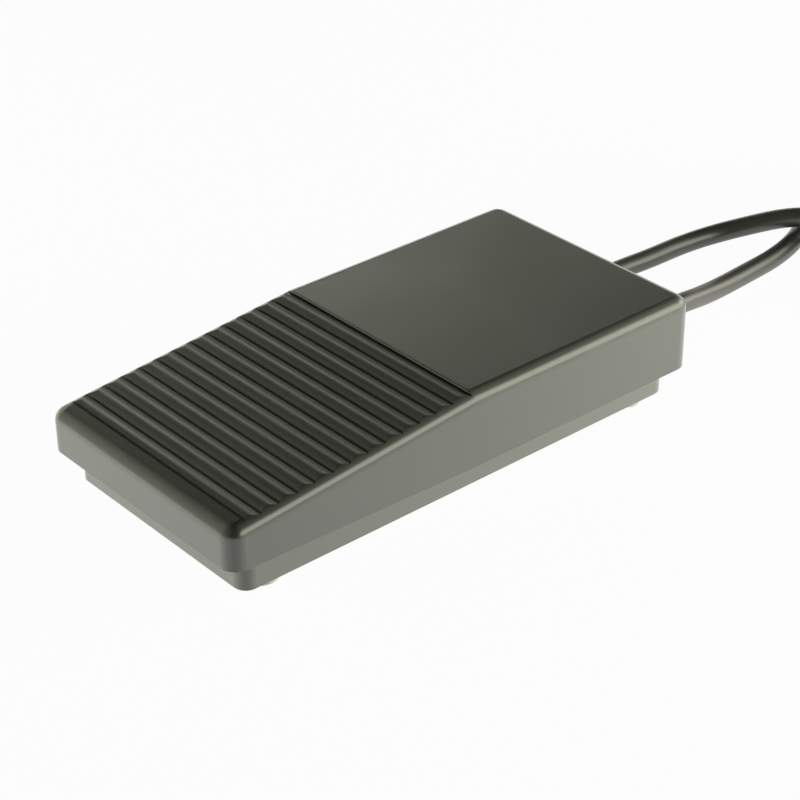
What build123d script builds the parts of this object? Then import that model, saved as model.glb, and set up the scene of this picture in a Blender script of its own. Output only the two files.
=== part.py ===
from build123d import *
from math import cos, pi, radians, sin, tan
import os

# A light-duty foot switch: a treadle cover hinged near the heel over a tray-shaped base.
# X runs across, Y from toe to heel, Z up. The origin is on the floor, under the middle of the cover.
# All sizes are in millimetres and all angles in degrees.

# Treadle cover
cover_width = 78.0
cover_length = 158.5
cover_height = 31.0
cover_corner_radius = 4.5
cover_edge_radius = 3.6
cover_wall = 2.2
cover_top_wall = 2.4
plate_front_y = -1.1
toe_slope = 5.5
skirt_height = 9.5
skirt_rise = 1.65

# Grip ribs across the toe
rib_count = 13
rib_pitch = 5.565
rib_height = 0.45
rib_skim = 0.06
plate_lead = 0.5

# Base tray
foot_height = 1.5
base_side_gap = 1.3
base_end_gap = 3.3
base_top_z = 14.0
base_corner_radius = 4.0
base_edge = 0.6
base_wall = 2.2
base_floor = 2.2

# Feet
foot_diameter = 10.0
foot_recess = 0.5
foot_side_inset = 6.0
foot_end_inset = 9.75
foot_edge = 0.4

# Hinge
hinge_setback = 19.25
hinge_z = 15.0
pedal_travel = 2.0
pin_diameter = 4.0
hinge_boss_radius = 4.5
ear_wall_gap = 1.8
ear_thickness = 4.0
cheek_thickness = 4.0
cheek_gap = 1.0
clip_thickness = 0.8
clip_diameter = 7.6
clip_groove_depth = 0.5
pin_end = 0.8

# Return springs
spring_x = 16.0
spring_setback = 41.25
spring_wire = 1.0
spring_diameter = 9.0
spring_turns = 5
spring_runs = 8
spring_sides = 6
spring_end_lift = 0.1
spring_top_z = 20.0
spigot_height = 2.5
spring_seat_rim = 1.0

# Stops at the end of the stroke
stop_side_inset = 9.5
stop_setback = 22.25
stop_diameter = 8.0
stop_top_z = 10.0
stop_bevel = 1.6
stop_socket_wall = 1.4
stop_socket_height = 2.0
stop_boss_radius = 3.5

# Snap hooks that hold the toe down against the springs
hook_x = 20.0
hook_width = 8.0
hook_leg = 2.0
hook_barb = 2.4
hook_setback = 13.75
hook_bottom_z = 8.7
hook_barb_height = 2.0
ledge_thickness = 2.0
ledge_overhang = 2.0

# Snap-action switch
switch_length = 19.8
switch_height = 10.2
switch_thickness = 6.4
switch_rear_y = 8.8
switch_bottom_z = 9.5
switch_lid_thickness = 1.4
switch_hole_spacing = 9.5
switch_hole_height = 2.9
switch_hole_diameter = 2.3
switch_screw_diameter = 2.1
switch_head_diameter = 3.8
switch_head_height = 1.3
switch_head_edge = 0.5
switch_screw_recess = 0.5
switch_corner_radius = 0.6
bracket_thickness = 2.7
bracket_rise = 3.0
bracket_overlap = 1.0
gusset_foot = 6.0
gusset_thickness = 1.6
gusset_drop = 1.0

# Lever and plunger of the switch
lever_pivot_y = 6.3
lever_pivot_rise = 0.35
lever_rest_angle = 10.0
lever_thickness = 0.4
lever_width = 3.2
lever_length = 17.8
lever_tab = 1.2
lever_slot_clearance = 0.35
striker_y = -9.2
striker_diameter = 5.0
striker_width = 5.0
plunger_y = 1.3
plunger_diameter = 2.0
plunger_length = 5.0
plunger_travel_room = 1.2

# Blades of the switch
blade_thickness = 0.5
blade_width = 3.2
blade_length = 3.9
blade_root = 1.2
blade_hole_diameter = 1.4
blade_spacing = 7.1

# Lead
cord_diameter = 6.1
cord_sides = 12
core_diameter = 2.2
core_sides = 8
cord_x = 10.0
cord_z = 7.0
jacket_lead_in = 8.0

# Cord clamp
clamp_setback = 23.75
clamp_width = 8.0
clamp_length = 25.0
clamp_bar = 3.0
clamp_bar_z = 8.6
clamp_screw_spacing = 19.0
clamp_post_width = 6.4
clamp_screw_diameter = 2.9
clamp_screw_length = 7.0
clamp_head_diameter = 5.4
clamp_head_height = 1.8
clamp_head_edge = 0.8
clamp_corner_radius = 2.0

# Strain relief
relief_flange = 1.5
relief_flange_width = 10.6
relief_flange_height = 8.0
relief_flange_corner = 1.5
relief_neck_diameter = 7.9
relief_root_diameter = 9.4
relief_tip_diameter = 7.6
relief_length = 21.5
relief_groove = 1.6
relief_groove_depth = 0.6
relief_groove_count = 3
skirt_arch_gap = 1.6

# Fits
running_fit = 0.05
part_gap = 0.1
soft_gap = 0.3

# Worked-out places
half_width = cover_width / 2
half_length = cover_length / 2
base_width = cover_width - 2 * (cover_wall + base_side_gap)
base_length = cover_length - 2 * (cover_wall + base_end_gap)
foot_x = base_width / 2 - foot_side_inset
foot_y = base_length / 2 - foot_end_inset
hinge_y = half_length - hinge_setback
ear_x = base_width / 2 - base_wall - ear_wall_gap - ear_thickness
spring_y = spring_setback - half_length
stop_x = base_width / 2 - stop_side_inset
stop_y = stop_setback - half_length
hook_leg_y = hook_setback - half_length
clamp_y = base_length / 2 - clamp_setback
jacket_end_y = clamp_y - jacket_lead_in
floor_top_z = foot_height + base_floor
base_inner_rear_y = base_length / 2 - base_wall
slope_start_y = plate_front_y + plate_lead
cord_radius = cord_diameter / 2
switch_top_z = switch_bottom_z + switch_height
switch_middle_y = switch_rear_y - switch_length / 2
switch_case_x = switch_thickness / 2 - switch_lid_thickness


def crest_z(y):
    """Height of the rib crests, and of the toe's slope, at a distance along the cover."""
    return cover_height - max(0.0, slope_start_y - y) * tan(radians(toe_slope))


def ceiling_z(y):
    """Height of the cover's inner ceiling at a distance along the cover."""
    slope = cover_height - rib_height - (slope_start_y - y) * tan(radians(toe_slope))
    return min(cover_height, slope) - cover_top_wall


def corner_radii(points):
    """Radius at each corner of a lead's route, as large as its two runs allow."""
    radii = []
    for before, here, after in zip(points, points[1:], points[2:]):
        run_in = Vector(*here) - Vector(*before)
        run_out = Vector(*after) - Vector(*here)
        turn = radians(run_in.get_angle(run_out))
        radii.append(0.45 * min(run_in.length, run_out.length) / tan(turn / 2))
    return radii


# Pedal cover: the outer form, its cavity, then the ribs on top and the bosses inside
skirt_front_z = skirt_height + (half_length + plate_front_y) * tan(radians(skirt_rise))
ceiling_bend_y = slope_start_y + rib_height / tan(radians(toe_slope))
cavity_half_width = half_width - cover_wall
cavity_half_length = half_length - cover_wall
ribs_front_y = plate_front_y - rib_count * rib_pitch
rib_radius = (rib_pitch**2 / 4 + rib_height**2) / (2 * rib_height)
cheek_x = ear_x - cheek_gap - cheek_thickness
lever_pivot_z = switch_top_z + lever_pivot_rise
lever_top_z = (
    lever_pivot_z
    + (lever_pivot_y - striker_y) * tan(radians(lever_rest_angle))
    + lever_thickness / 2 / cos(radians(lever_rest_angle))
)
striker_radius = striker_diameter / 2
striker_centre_z = lever_top_z + (striker_radius + soft_gap) / cos(radians(lever_rest_angle))
striker_top_z = ceiling_z(striker_y) + cover_top_wall / 2
spring_inner_diameter = spring_diameter - 2 * spring_wire
stop_stroke = (hinge_y - stop_y) * sin(radians(pedal_travel))
stop_boss_z = stop_top_z + stop_stroke + soft_gap
barb_top_z = hook_bottom_z + hook_barb_height

with BuildPart() as pedal_cover:
    with BuildSketch(Plane.YZ):
        with BuildLine():
            Polyline(
                (-half_length, skirt_front_z),
                (-half_length, crest_z(-half_length)),
                (slope_start_y, cover_height),
                (half_length, cover_height),
                (half_length, skirt_height),
                (plate_front_y, skirt_height),
                close=True,
            )
        make_face()
    extrude(amount=half_width, both=True)
    fillet(pedal_cover.edges().filter_by(Axis.Z), radius=cover_corner_radius)
    top_faces = pedal_cover.faces().filter_by(lambda face: face.normal_at().Z > 0.9)
    top_edges = top_faces.edges().filter_by(
        lambda edge: abs(edge.center().Y - slope_start_y) > part_gap or abs(edge.center().X) > part_gap
    )
    fillet(top_edges, radius=cover_edge_radius)

    with BuildSketch(Plane.YZ):
        with BuildLine():
            Polyline(
                (-cavity_half_length, 0),
                (-cavity_half_length, ceiling_z(-cavity_half_length)),
                (ceiling_bend_y, ceiling_z(ceiling_bend_y)),
                (cavity_half_length, ceiling_z(cavity_half_length)),
                (cavity_half_length, 0),
                close=True,
            )
        make_face()
    extrude(amount=cavity_half_width, both=True, mode=Mode.SUBTRACT)
    inner_corners = (
        pedal_cover.edges()
        .filter_by(Axis.Z)
        .filter_by(lambda edge: abs(abs(edge.center().X) - cavity_half_width) < 0.01)
    )
    fillet(inner_corners, radius=cover_corner_radius - cover_wall)

    # Rounded ribs with sharp valleys between them, cut straight across the toe
    with BuildSketch(Plane.YZ):
        with BuildLine():
            Polyline(
                (ribs_front_y, crest_z(ribs_front_y) - 1.5 * rib_height),
                (ribs_front_y, cover_height + rib_height),
                (plate_front_y, cover_height + rib_height),
                (plate_front_y, crest_z(plate_front_y) - 1.5 * rib_height),
                close=True,
            )
        make_face()
        for index in range(rib_count):
            rib_y = ribs_front_y + (index + 0.5) * rib_pitch
            rib_crest_z = cover_height - (slope_start_y - rib_y) * tan(radians(toe_slope)) - rib_skim
            rib_z = rib_crest_z - rib_radius
            with Locations((rib_y, rib_z)):
                Circle(rib_radius, mode=Mode.SUBTRACT)
    extrude(amount=half_width, both=True, mode=Mode.SUBTRACT)

    # Hinge cheeks under the heel, bored for the pin
    for side in (-1, 1):
        with BuildSketch(Plane.YZ.offset(side * (cheek_x + cheek_thickness / 2))):
            with Locations((hinge_y, hinge_z)):
                Circle(hinge_boss_radius)
            with Locations((hinge_y, (hinge_z + cover_height - cover_top_wall / 2) / 2)):
                Rectangle(2 * hinge_boss_radius, cover_height - cover_top_wall / 2 - hinge_z)
            with Locations((hinge_y, hinge_z)):
                Circle(pin_diameter / 2 + running_fit, mode=Mode.SUBTRACT)
        extrude(amount=cheek_thickness / 2, both=True)

    # Round-nosed striker over the switch's lever
    with BuildSketch(Plane.YZ):
        with Locations((striker_y, striker_centre_z)):
            Circle(striker_radius)
        with Locations((striker_y, (striker_centre_z + striker_top_z) / 2)):
            Rectangle(striker_diameter, striker_top_z - striker_centre_z)
    extrude(amount=striker_width / 2, both=True)

    # Spring seats, each a pad with a spigot inside the spring's top coil
    for side in (-1, 1):
        with BuildSketch(Plane.XY.offset(spring_top_z)):
            with Locations((side * spring_x, spring_y)):
                Circle(spring_diameter / 2 + spring_seat_rim)
        extrude(amount=ceiling_z(spring_y) + cover_top_wall / 2 - spring_top_z)
        with BuildSketch(Plane.XY.offset(spring_top_z - spigot_height)):
            with Locations((side * spring_x, spring_y)):
                Circle(spring_inner_diameter / 2 - soft_gap)
        extrude(amount=spigot_height)

    # Bosses that land on the rubber stops
    for side in (-1, 1):
        with BuildSketch(Plane.XY.offset(stop_boss_z)):
            with Locations((side * stop_x, stop_y)):
                Circle(stop_boss_radius)
        extrude(amount=ceiling_z(stop_y) + cover_top_wall / 2 - stop_boss_z)

    # Snap hooks, with their barbs towards the toe
    for side in (-1, 1):
        with BuildSketch(Plane.YZ.offset(side * hook_x)):
            with BuildLine():
                Polyline(
                    (hook_leg_y, hook_bottom_z),
                    (hook_leg_y, ceiling_z(hook_leg_y) + cover_top_wall / 2),
                    (hook_leg_y - hook_leg, ceiling_z(hook_leg_y) + cover_top_wall / 2),
                    (hook_leg_y - hook_leg, barb_top_z),
                    (hook_leg_y - hook_leg - hook_barb, barb_top_z),
                    (hook_leg_y - hook_leg, hook_bottom_z),
                    close=True,
                )
            make_face()
        extrude(amount=hook_width / 2, both=True)

    # Arch in the heel's skirt, clear of the strain relief
    with BuildSketch(Plane.XZ.offset(-half_length)):
        with Locations((cord_x, cord_z)):
            Circle(relief_root_diameter / 2 + skirt_arch_gap)
    extrude(amount=cover_wall + part_gap, mode=Mode.SUBTRACT)

pedal_cover.part.label = "pedal_cover"

# Base tray: floor and walls, then what stands on the floor
stop_socket_width = stop_diameter + 2 * (running_fit + stop_socket_wall)
ledge_inner_y = hook_leg_y - hook_leg - 2 * running_fit
ledge_bottom_z = barb_top_z + soft_gap
bracket_front_y = switch_middle_y - switch_length / 2 - bracket_overlap
bracket_rear_y = switch_middle_y + switch_length / 2 + bracket_overlap
bracket_top_z = switch_bottom_z + switch_hole_height + bracket_rise

with BuildPart() as base_tray:
    with BuildSketch(Plane.XY.offset(foot_height)):
        RectangleRounded(base_width, base_length, base_corner_radius)
    extrude(amount=base_top_z - foot_height)
    chamfer(base_tray.faces().sort_by(Axis.Z)[0].edges(), length=base_edge)
    with BuildSketch(Plane.XY.offset(floor_top_z)):
        RectangleRounded(
            base_width - 2 * base_wall, base_length - 2 * base_wall, base_corner_radius - base_wall
        )
    extrude(amount=base_top_z - floor_top_z, mode=Mode.SUBTRACT)

    # Hinge ears, bored for the pin
    for side in (-1, 1):
        with BuildSketch(Plane.YZ.offset(side * (ear_x + ear_thickness / 2))):
            with Locations((hinge_y, hinge_z)):
                Circle(hinge_boss_radius)
            with Locations((hinge_y, (hinge_z + floor_top_z) / 2 - running_fit)):
                Rectangle(2 * hinge_boss_radius, hinge_z - floor_top_z + 2 * running_fit)
            with Locations((hinge_y, hinge_z)):
                Circle(pin_diameter / 2 + running_fit, mode=Mode.SUBTRACT)
        extrude(amount=ear_thickness / 2, both=True)

    # Spigots that centre the springs, and square sockets round the rubber stops
    for side in (-1, 1):
        with BuildSketch(Plane.XY.offset(floor_top_z)):
            with Locations((side * spring_x, spring_y)):
                Circle(spring_inner_diameter / 2 - soft_gap)
        extrude(amount=spigot_height)
        with BuildSketch(Plane.XY.offset(floor_top_z)):
            with Locations((side * stop_x, stop_y)):
                Rectangle(stop_socket_width, stop_socket_width)
                Circle(stop_diameter / 2 + running_fit, mode=Mode.SUBTRACT)
        extrude(amount=stop_socket_height)

    # Ledges on the toe's wall that the snap hooks catch under
    for side in (-1, 1):
        ledge_middle_y = (ledge_inner_y - base_length / 2 + base_wall / 2) / 2
        with BuildSketch(Plane.XY.offset(ledge_bottom_z)):
            with Locations((side * hook_x, ledge_middle_y)):
                Rectangle(hook_width + 2 * ledge_overhang, ledge_inner_y + base_length / 2 - base_wall / 2)
        extrude(amount=ledge_thickness)

    # Bracket that the snap-action switch is screwed to, with two gussets
    with BuildSketch(Plane.YZ.offset(-switch_thickness / 2)):
        with Locations((switch_middle_y, (floor_top_z + bracket_top_z) / 2)):
            Rectangle(bracket_rear_y - bracket_front_y, bracket_top_z - floor_top_z)
        with Locations((switch_middle_y, switch_bottom_z + switch_hole_height)):
            with GridLocations(switch_hole_spacing, 0, 2, 1):
                Circle(switch_screw_diameter / 2 + running_fit, mode=Mode.SUBTRACT)
    extrude(amount=-bracket_thickness)
    gusset_x = -switch_thickness / 2 - bracket_thickness
    for gusset_y in (bracket_front_y + gusset_thickness / 2, bracket_rear_y - gusset_thickness / 2):
        with BuildSketch(Plane.XZ.offset(-gusset_y)):
            with BuildLine():
                Polyline(
                    (gusset_x, floor_top_z),
                    (gusset_x, bracket_top_z - gusset_drop),
                    (gusset_x - gusset_foot, floor_top_z),
                    close=True,
                )
            make_face()
        extrude(amount=gusset_thickness / 2, both=True)

    # Posts for the cord clamp
    with BuildSketch(Plane.XY.offset(floor_top_z)):
        with Locations((cord_x, clamp_y)):
            with GridLocations(clamp_screw_spacing, 0, 2, 1):
                Rectangle(clamp_post_width, clamp_post_width)
                Circle(clamp_screw_diameter / 2 + running_fit, mode=Mode.SUBTRACT)
    extrude(amount=clamp_bar_z - floor_top_z)

    # Open notch in the heel's wall that the strain relief's neck drops into
    with BuildSketch(Plane.XZ.offset(-base_length / 2)):
        with Locations((cord_x, cord_z)):
            Circle(relief_neck_diameter / 2 + running_fit)
        with Locations((cord_x, (cord_z + base_top_z) / 2)):
            Rectangle(relief_neck_diameter + 2 * running_fit, base_top_z - cord_z)
    extrude(amount=base_wall + 2 * running_fit, mode=Mode.SUBTRACT)

    # Shallow recesses that hold the feet
    with BuildSketch(Plane.XY.offset(foot_height)):
        with GridLocations(2 * foot_x, 2 * foot_y, 2, 2):
            Circle(foot_diameter / 2 + running_fit)
    extrude(amount=foot_recess, mode=Mode.SUBTRACT)

base_tray.part.label = "base_tray"

# Feet
feet = []
foot_places = {
    "foot_front_left": (-foot_x, -foot_y),
    "foot_front_right": (foot_x, -foot_y),
    "foot_rear_left": (-foot_x, foot_y),
    "foot_rear_right": (foot_x, foot_y),
}
for foot_name, (place_x, place_y) in foot_places.items():
    with BuildPart() as foot:
        with BuildSketch():
            with Locations((place_x, place_y)):
                Circle(foot_diameter / 2)
        extrude(amount=foot_height + foot_recess)
        chamfer(foot.faces().sort_by(Axis.Z)[0].edges(), length=foot_edge)
    foot.part.label = foot_name
    feet.append(foot.part)

# Hinge pin with a groove near each end, and a clip in each groove
ear_outer_x = ear_x + ear_thickness
groove_x = ear_outer_x + part_gap
groove_width = clip_thickness + part_gap
pin_half_length = groove_x + groove_width + pin_end
groove_radius = pin_diameter / 2 - clip_groove_depth

with BuildPart() as hinge_pin:
    with BuildSketch(Plane.YZ.offset(-pin_half_length)):
        with Locations((hinge_y, hinge_z)):
            Circle(pin_diameter / 2)
    extrude(amount=2 * pin_half_length)
    for side in (-1, 1):
        with BuildSketch(Plane.YZ.offset(side * (groove_x + groove_width / 2))):
            with Locations((hinge_y, hinge_z)):
                Circle(pin_diameter)
                Circle(groove_radius, mode=Mode.SUBTRACT)
        extrude(amount=groove_width / 2, both=True, mode=Mode.SUBTRACT)
hinge_pin.part.label = "hinge_pin"

clips = []
for clip_name, side in (("pin_clip_left", -1), ("pin_clip_right", 1)):
    with BuildPart() as pin_clip:
        with BuildSketch(Plane.YZ.offset(side * (groove_x + groove_width / 2))):
            with Locations((hinge_y, hinge_z)):
                Circle(clip_diameter / 2)
                Circle(groove_radius + running_fit, mode=Mode.SUBTRACT)
            with Locations((hinge_y, hinge_z - clip_diameter / 2)):
                Rectangle(groove_radius * 2, clip_diameter, mode=Mode.SUBTRACT)
        extrude(amount=clip_thickness / 2, both=True)
    pin_clip.part.label = clip_name
    clips.append(pin_clip.part)

# Return springs, a round wire bent round a helix in short straight runs
springs = []
spring_wire_bottom = floor_top_z + running_fit + spring_wire / 2 + spring_end_lift
spring_rise = spring_top_z - running_fit - spring_wire / 2 - spring_end_lift - spring_wire_bottom
spring_radius = (spring_diameter - spring_wire) / 2 / cos(pi / spring_runs)
for spring_name, side in (("return_spring_left", -1), ("return_spring_right", 1)):
    wire_points = []
    for index in range(spring_turns * spring_runs + 1):
        turn_angle = 2 * pi * index / spring_runs
        wire_points.append(
            (
                side * spring_x + spring_radius * cos(turn_angle),
                spring_y + spring_radius * sin(turn_angle),
                spring_wire_bottom + spring_rise * index / (spring_turns * spring_runs),
            )
        )
    with BuildPart() as spring:
        with BuildLine() as wire_line:
            Polyline(*wire_points)
        with BuildSketch(Plane(origin=wire_line.line @ 0, z_dir=wire_line.line % 0)):
            RegularPolygon(spring_wire / 2, spring_sides)
        sweep(path=wire_line.line, transition=Transition.RIGHT)
    spring.part.label = spring_name
    springs.append(spring.part)

# Rubber stops with a bevelled top
stops = []
for stop_name, side in (("bump_stop_left", -1), ("bump_stop_right", 1)):
    with BuildPart() as bump_stop:
        with BuildSketch(Plane.XY.offset(floor_top_z)):
            with Locations((side * stop_x, stop_y)):
                Circle(stop_diameter / 2)
        extrude(amount=stop_top_z - floor_top_z)
        chamfer(bump_stop.faces().sort_by(Axis.Z)[-1].edges(), length=stop_bevel)
    bump_stop.part.label = stop_name
    stops.append(bump_stop.part)

# Switch case and lid, bored for the screws, the plunger and the lever's tab
plunger_hole_radius = plunger_diameter / 2 + running_fit
lever_underside_z = (
    lever_pivot_z
    + (lever_pivot_y - plunger_y) * tan(radians(lever_rest_angle))
    - lever_thickness / 2 / cos(radians(lever_rest_angle))
)
plunger_radius = plunger_diameter / 2
plunger_dome_z = lever_underside_z - (plunger_radius + part_gap) / cos(radians(lever_rest_angle))
plunger_bottom_z = plunger_dome_z - plunger_length
blade_places = {
    "terminal_common": switch_middle_y + blade_spacing,
    "terminal_no": switch_middle_y,
    "terminal_nc": switch_middle_y - blade_spacing,
}

with BuildPart() as switch_case:
    with BuildSketch(Plane.YZ.offset(-switch_thickness / 2)):
        with Locations((switch_middle_y, (switch_bottom_z + switch_top_z) / 2)):
            RectangleRounded(switch_length, switch_height, switch_corner_radius)
        with Locations((switch_middle_y, switch_bottom_z + switch_hole_height)):
            with GridLocations(switch_hole_spacing, 0, 2, 1):
                Circle(switch_hole_diameter / 2, mode=Mode.SUBTRACT)
    extrude(amount=switch_thickness - switch_lid_thickness)
    with BuildSketch(Plane.XY.offset(plunger_bottom_z - plunger_travel_room)):
        with Locations((0, plunger_y)):
            Circle(plunger_hole_radius)
    extrude(amount=switch_top_z - plunger_bottom_z + 2 * plunger_travel_room, mode=Mode.SUBTRACT)
    with BuildSketch(Plane.XY.offset(switch_top_z)):
        with Locations((0, lever_pivot_y)):
            Rectangle(lever_width + 2 * part_gap, lever_thickness + 2 * lever_slot_clearance)
    extrude(amount=-lever_tab - lever_slot_clearance, mode=Mode.SUBTRACT)
    with BuildSketch(Plane.XY.offset(switch_bottom_z)):
        for blade_y in blade_places.values():
            with Locations((0, blade_y)):
                Rectangle(blade_thickness + 2 * running_fit, blade_width + 2 * running_fit)
    extrude(amount=blade_root + running_fit, mode=Mode.SUBTRACT)
switch_case.part.label = "switch_case"

with BuildPart() as switch_lid:
    with BuildSketch(Plane.YZ.offset(switch_case_x)):
        with Locations((switch_middle_y, (switch_bottom_z + switch_top_z) / 2)):
            RectangleRounded(switch_length, switch_height, switch_corner_radius)
        with Locations((switch_middle_y, switch_bottom_z + switch_hole_height)):
            with GridLocations(switch_hole_spacing, 0, 2, 1):
                Circle(switch_hole_diameter / 2, mode=Mode.SUBTRACT)
    extrude(amount=switch_lid_thickness)
switch_lid.part.label = "switch_lid"

with BuildPart() as switch_plunger:
    with BuildSketch(Plane.XY.offset(plunger_bottom_z)):
        with Locations((0, plunger_y)):
            Circle(plunger_radius)
    extrude(amount=plunger_dome_z - plunger_bottom_z)
    with Locations((0, plunger_y, plunger_dome_z)):
        Sphere(plunger_radius)
switch_plunger.part.label = "switch_plunger"

# Spring-steel lever, drawn flat along its own slope, with a tab down into the case
lever_plane = Plane(
    origin=(0, lever_pivot_y, lever_pivot_z),
    x_dir=(0, -cos(radians(lever_rest_angle)), sin(radians(lever_rest_angle))),
    z_dir=(1, 0, 0),
)
with BuildPart() as switch_lever:
    with BuildSketch(lever_plane):
        with Locations(((lever_length - lever_thickness / 2) / 2, 0)):
            Rectangle(lever_length + lever_thickness / 2, lever_thickness)
    extrude(amount=lever_width / 2, both=True)
    with BuildSketch(Plane.YZ):
        with Locations((lever_pivot_y, lever_pivot_z - (lever_pivot_rise + lever_tab) / 2)):
            Rectangle(lever_thickness, lever_pivot_rise + lever_tab)
    extrude(amount=lever_width / 2, both=True)
switch_lever.part.label = "switch_lever"

blades = []
for blade_name, blade_y in blade_places.items():
    with BuildPart() as blade:
        with BuildSketch(Plane.YZ):
            with Locations((blade_y, switch_bottom_z + (blade_root - blade_length) / 2)):
                Rectangle(blade_width, blade_length + blade_root)
            with Locations((blade_y, switch_bottom_z - blade_length + blade_hole_diameter)):
                Circle(blade_hole_diameter / 2, mode=Mode.SUBTRACT)
        extrude(amount=blade_thickness / 2, both=True)
    blade.part.label = blade_name
    blades.append(blade.part)

# Screws through the switch into its bracket
switch_screw_end_x = -switch_thickness / 2 - bracket_thickness + switch_screw_recess
with BuildPart() as switch_screws:
    with BuildSketch(Plane.YZ.offset(switch_screw_end_x)):
        with Locations((switch_middle_y, switch_bottom_z + switch_hole_height)):
            with GridLocations(switch_hole_spacing, 0, 2, 1):
                Circle(switch_screw_diameter / 2)
    extrude(amount=switch_thickness / 2 - switch_screw_end_x)
    with BuildSketch(Plane.YZ.offset(switch_thickness / 2)):
        with Locations((switch_middle_y, switch_bottom_z + switch_hole_height)):
            with GridLocations(switch_hole_spacing, 0, 2, 1):
                Circle(switch_head_diameter / 2)
    extrude(amount=switch_head_height)
    chamfer(switch_screws.faces().sort_by(Axis.X)[-2:].edges(), length=switch_head_edge)
switch_screws.part.label = "switch_screws"

# Cord clamp bar, with a round groove over the lead, and its screws
with BuildPart() as cord_clamp:
    with BuildSketch(Plane.XY.offset(clamp_bar_z)):
        with Locations((cord_x, clamp_y)):
            RectangleRounded(clamp_length, clamp_width, clamp_corner_radius)
            with GridLocations(clamp_screw_spacing, 0, 2, 1):
                Circle(clamp_screw_diameter / 2 + part_gap, mode=Mode.SUBTRACT)
    extrude(amount=clamp_bar)
    with BuildSketch(Plane.XZ.offset(-clamp_y)):
        with Locations((cord_x, cord_z)):
            Circle(cord_radius + running_fit)
    extrude(amount=clamp_width, both=True, mode=Mode.SUBTRACT)
cord_clamp.part.label = "cord_clamp"

with BuildPart() as clamp_screws:
    with BuildSketch(Plane.XY.offset(clamp_bar_z + clamp_bar)):
        with Locations((cord_x, clamp_y)):
            with GridLocations(clamp_screw_spacing, 0, 2, 1):
                Circle(clamp_screw_diameter / 2)
    extrude(amount=-clamp_screw_length)
    with BuildSketch(Plane.XY.offset(clamp_bar_z + clamp_bar)):
        with Locations((cord_x, clamp_y)):
            with GridLocations(clamp_screw_spacing, 0, 2, 1):
                Circle(clamp_head_diameter / 2)
    extrude(amount=clamp_head_height)
    chamfer(clamp_screws.faces().sort_by(Axis.Z)[-2:].edges(), length=clamp_head_edge)
clamp_screws.part.label = "clamp_screws"

# Strain relief: a flange each side of the wall, then a grooved taper with a bore for the lead
flange_z = floor_top_z + running_fit + relief_flange_height / 2
inner_flange_y = base_inner_rear_y - running_fit
outer_flange_y = base_length / 2 + running_fit
taper_start_y = outer_flange_y + relief_flange
taper_end_y = taper_start_y + relief_length
relief_profile = [
    (inner_flange_y, cord_z),
    (inner_flange_y, cord_z + relief_neck_diameter / 2),
    (taper_start_y, cord_z + relief_neck_diameter / 2),
    (taper_start_y, cord_z + relief_root_diameter / 2),
]
for index in range(relief_groove_count):
    groove_y = taper_start_y + (index + 1) * relief_length / (relief_groove_count + 1)
    share = (groove_y - taper_start_y) / relief_length
    taper_radius = (relief_root_diameter + share * (relief_tip_diameter - relief_root_diameter)) / 2
    relief_profile += [
        (groove_y - relief_groove / 2, cord_z + taper_radius),
        (groove_y, cord_z + taper_radius - relief_groove_depth),
        (groove_y + relief_groove / 2, cord_z + taper_radius),
    ]
relief_profile += [
    (taper_end_y, cord_z + relief_tip_diameter / 2),
    (taper_end_y, cord_z),
]
with BuildPart() as strain_relief:
    with BuildSketch(Plane.XZ.offset(-inner_flange_y)):
        with Locations((cord_x, flange_z)):
            RectangleRounded(relief_flange_width, relief_flange_height, relief_flange_corner)
    extrude(amount=relief_flange)
    with BuildSketch(Plane.XZ.offset(-outer_flange_y)):
        with Locations((cord_x, flange_z)):
            RectangleRounded(relief_flange_width, relief_flange_height, relief_flange_corner)
    extrude(amount=-relief_flange)
    with BuildSketch(Plane.YZ.offset(cord_x)):
        with BuildLine():
            Polyline(*relief_profile, close=True)
        make_face()
    revolve(axis=Axis((cord_x, 0, cord_z), (0, 1, 0)))
    with BuildSketch(Plane.XZ.offset(-inner_flange_y + 2 * relief_flange)):
        with Locations((cord_x, cord_z)):
            Circle(cord_radius + running_fit)
    extrude(amount=-(taper_end_y - inner_flange_y + 4 * relief_flange), mode=Mode.SUBTRACT)
strain_relief.part.label = "strain_relief"

# Straight end of the lead, through the clamp and the strain relief
with BuildPart() as cord_jacket:
    with BuildSketch(Plane.XZ.offset(-jacket_end_y)):
        with Locations((cord_x, cord_z)):
            Circle(cord_radius)
    extrude(amount=-(taper_end_y - jacket_end_y))
cord_jacket.part.label = "cord_jacket"

# Insulated cores, from the jacket's end to the blades
core_offsets = {"brown": (-1.2, -0.7), "black": (0, 1.4), "grey": (1.2, -0.7)}
core_blades = {"brown": "terminal_common", "black": "terminal_no", "grey": "terminal_nc"}
core_bend = 5.0
cores = []
for colour, (offset_x, offset_z) in core_offsets.items():
    start_x = cord_x + offset_x
    start_z = cord_z + offset_z
    end_y = blade_places[core_blades[colour]]
    with BuildPart() as core:
        with BuildLine() as core_route:
            FilletPolyline(
                (start_x, jacket_end_y, start_z),
                (start_x, end_y, start_z),
                (blade_thickness / 2, end_y, start_z),
                radius=core_bend,
            )
        with BuildSketch(Plane(origin=core_route.line @ 0, z_dir=core_route.line % 0)):
            RegularPolygon(core_diameter / 2, core_sides)
        sweep(path=core_route.line)
    core.part.label = "core_" + colour
    cores.append(core.part)

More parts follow.
